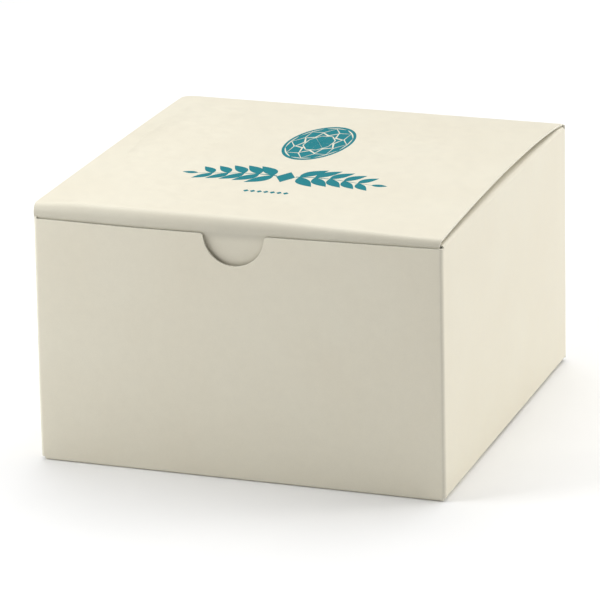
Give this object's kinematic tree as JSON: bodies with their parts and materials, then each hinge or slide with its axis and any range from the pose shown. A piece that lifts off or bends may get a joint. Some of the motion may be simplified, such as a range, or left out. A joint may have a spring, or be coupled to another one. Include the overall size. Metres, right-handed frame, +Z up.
{
  "type": "folding gift box",
  "caption": "Square folding paperboard gift box with a hinged tuck lid, a thumb notch in the front wall and an auto-lock bottom.",
  "frame": {"origin": "centre of the base, on the plane that the box stands on", "axes": "+Z up, the front wall with the thumb notch faces -Y, the lid is hinged at +Y, +X is the right side seen from the front"},
  "size_m": [0.1276, 0.1276, 0.0816],
  "materials": {
    "coated_board": "satin",
    "uncoated_board": "matte",
    "adhesive": "satin",
    "teal_print": "satin"
  },
  "bodies": {
    "carton": {"front_wall": "coated_board", "back_wall": "coated_board", "left_wall": "coated_board", "right_wall": "coated_board", "side_seam_flap": "uncoated_board", "side_seam_glue": "adhesive", "lid_crease": "coated_board", "dust_crease_left": "coated_board", "dust_crease_right": "coated_board", "bottom_flap_front": "coated_board", "bottom_flap_back": "coated_board", "bottom_flap_left": "uncoated_board", "bottom_flap_right": "uncoated_board", "bottom_glue_tab_front": "coated_board", "bottom_glue_tab_back": "coated_board", "bottom_glue_left": "adhesive", "bottom_glue_right": "adhesive"},
    "lid": {"lid_panel": "coated_board", "tuck_crease": "coated_board"},
    "tuck_flap": {"tuck_flap": "coated_board"},
    "dust_flap_left": {"dust_flap_left": "coated_board"},
    "dust_flap_right": {"dust_flap_right": "coated_board"}
  },
  "joints": [
    {"name": "lid_open", "type": "hinge", "parent": "carton", "child": "lid", "pos_m": [0, 0.0635, 0.078], "axis": [-1, 0, 0], "range_deg": [0, 175]},
    {"name": "tuck_fold", "type": "hinge", "parent": "lid", "child": "tuck_flap", "pos_m": [0, -0.0629, 0.0806], "axis": [-1, 0, 0], "range_deg": [0, 35]},
    {"name": "dust_fold_left", "type": "hinge", "parent": "carton", "child": "dust_flap_left", "pos_m": [-0.0635, 0, 0.0771], "axis": [0, -1, 0], "range_deg": [0, 105]},
    {"name": "dust_fold_right", "type": "hinge", "parent": "carton", "child": "dust_flap_right", "pos_m": [0.0635, 0, 0.0771], "axis": [0, 1, 0], "range_deg": [0, 105]}
  ],
  "couplings": [
    {"joint": "tuck_fold", "follows": "lid_open", "ratio": 0.2},
    {"joint": "dust_fold_left", "follows": "lid_open", "ratio": 0.6},
    {"joint": "dust_fold_right", "follows": "lid_open", "ratio": 0.6}
  ]
}
